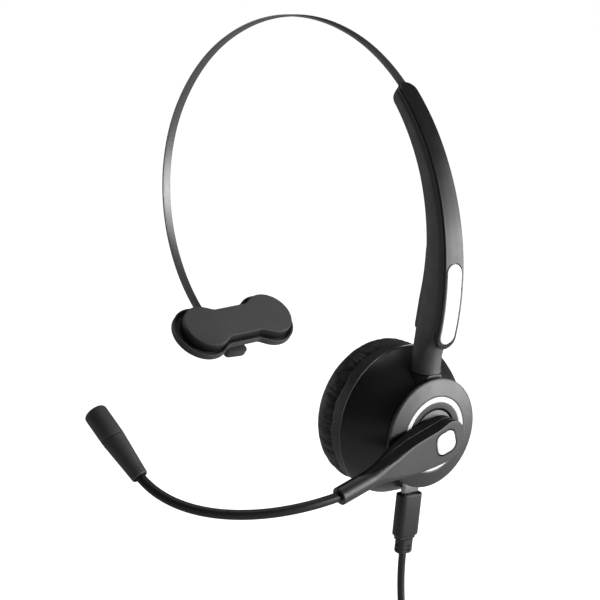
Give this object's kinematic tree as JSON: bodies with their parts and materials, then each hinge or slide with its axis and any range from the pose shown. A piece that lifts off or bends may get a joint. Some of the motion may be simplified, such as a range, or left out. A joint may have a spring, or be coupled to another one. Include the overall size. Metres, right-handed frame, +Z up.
{
  "type": "office headset",
  "caption": "Single-ear headset: sprung steel headband sliding in a curved arm, round ear cup with soft cushion, swivelling gooseneck microphone boom, rocking temple pad and charging lead.",
  "frame": {"origin": "centre of the ear cushion's face, on the ear cup's axis", "axes": "+Z up along the headset, +X outwards through the ear cup, -Y towards the wearer's front where the boom points; the headband lies in the XZ plane"},
  "size_m": [0.1897, 0.1536, 0.2506],
  "materials": {
    "shell_black": "fine satin texture",
    "hub_black": "smooth satin",
    "badge_silver": "blank pale badge",
    "trim_silver": "satin plated ring",
    "button_white": "satin",
    "band_steel": "black coated spring steel",
    "bright_steel": "plain",
    "plug_metal": "nickel plated",
    "leatherette": "soft black, fine grain",
    "foam": "open-cell foam",
    "diaphragm": "translucent film",
    "driver_frame": "moulded",
    "board_green": "solder mask",
    "cell_wrap": "pouch foil",
    "switch_grey": "moulded",
    "flex_black": "smooth sleeve",
    "pad_grey": "soft touch",
    "cable_black": "matt jacket"
  },
  "bodies": {
    "arm": {"arm_outer_shell": "shell_black", "arm_inner_shell": "shell_black", "arm_inner_cover": "shell_black", "arm_badge": "badge_silver", "arm_screws": "bright_steel", "detent_spring": "bright_steel", "neck_clip": "bright_steel"},
    "headband": {"headband_strip": "band_steel", "band_end_stop": "bright_steel", "band_bracket": "shell_black", "band_rivet": "bright_steel"},
    "temple": {"temple_plate": "shell_black", "temple_pad": "pad_grey", "temple_pin": "bright_steel"},
    "cup": {"cup_shell": "shell_black", "hub_ring": "hub_black", "trim_ring": "trim_silver", "hub_inner_ring": "hub_black", "front_frame": "shell_black", "cup_screws": "bright_steel", "ear_cushion": "leatherette", "grille_foam": "foam", "speaker_frame": "driver_frame", "speaker_magnet": "bright_steel", "speaker_diaphragm": "diaphragm", "main_board": "board_green", "battery": "cell_wrap", "usb_socket": "bright_steel", "volume_switch": "switch_grey"},
    "rocker": {"volume_rocker": "hub_black"},
    "boom": {"boom_base": "hub_black", "boom_cover": "hub_black", "boom_screws": "bright_steel", "hub_washer": "bright_steel", "hub_clip": "bright_steel", "button_switch": "switch_grey", "gooseneck_root": "flex_black"},
    "button": {"call_button": "button_white"},
    "gooseneck": {"gooseneck_middle": "flex_black"},
    "mic": {"gooseneck_tip": "flex_black", "mic_housing": "shell_black", "mic_cap": "shell_black", "mic_capsule": "bright_steel"},
    "usb_cable": {"usb_plug_shell": "plug_metal", "usb_plug_body": "cable_black", "strain_relief": "cable_black", "charging_cable": "cable_black"}
  },
  "joints": [
    {"name": "band_slide", "type": "hinge", "parent": "arm", "child": "headband", "pos_m": [-0.04407, 0, 0.06461], "axis": [0, 1, 0], "range_deg": [-8, 12]},
    {"name": "neck_swivel", "type": "hinge", "parent": "arm", "child": "cup", "pos_m": [0.02969, 0, -0.00433], "axis": [0.1444, 0, 0.9895], "range_deg": [-20, 20]},
    {"name": "boom_swivel", "type": "hinge", "parent": "cup", "child": "boom", "pos_m": [0.03859, 0, -0.00563], "axis": [0.9895, 0, -0.1444], "range_deg": [-85, 45]},
    {"name": "call_button_press", "type": "slide", "parent": "boom", "child": "button", "axis": [-0.9895, 0, 0.1444], "range_m": [0, 0.0004], "stiffness_N_per_m": 900},
    {"name": "boom_flex_root", "type": "hinge", "parent": "boom", "child": "gooseneck", "pos_m": [0.03343, -0.07532, -0.02552], "axis": [-0.5165, 0.3213, -0.7937], "range_deg": [-15, 15]},
    {"name": "boom_flex_tip", "type": "hinge", "parent": "gooseneck", "child": "mic", "pos_m": [0.01355, -0.10001, -0.02358], "axis": [-0.5165, 0.3213, -0.7937], "range_deg": [-15, 15]},
    {"name": "temple_tilt", "type": "hinge", "parent": "headband", "child": "temple", "pos_m": [-0.09771, 0, 0.01568], "axis": [0, 1, 0], "range_deg": [-6, 6]},
    {"name": "usb_unplug", "type": "slide", "parent": "cup", "child": "usb_cable", "axis": [-0.1444, 0, -0.9895], "range_m": [-0.0012, 0.012]},
    {"name": "volume_rock", "type": "hinge", "parent": "cup", "child": "rocker", "pos_m": [0.02307, 0.02511, -0.01017], "axis": [0.9895, 0, -0.1444], "range_deg": [-2, 2], "stiffness_Nm_per_rad": 0.05}
  ]
}
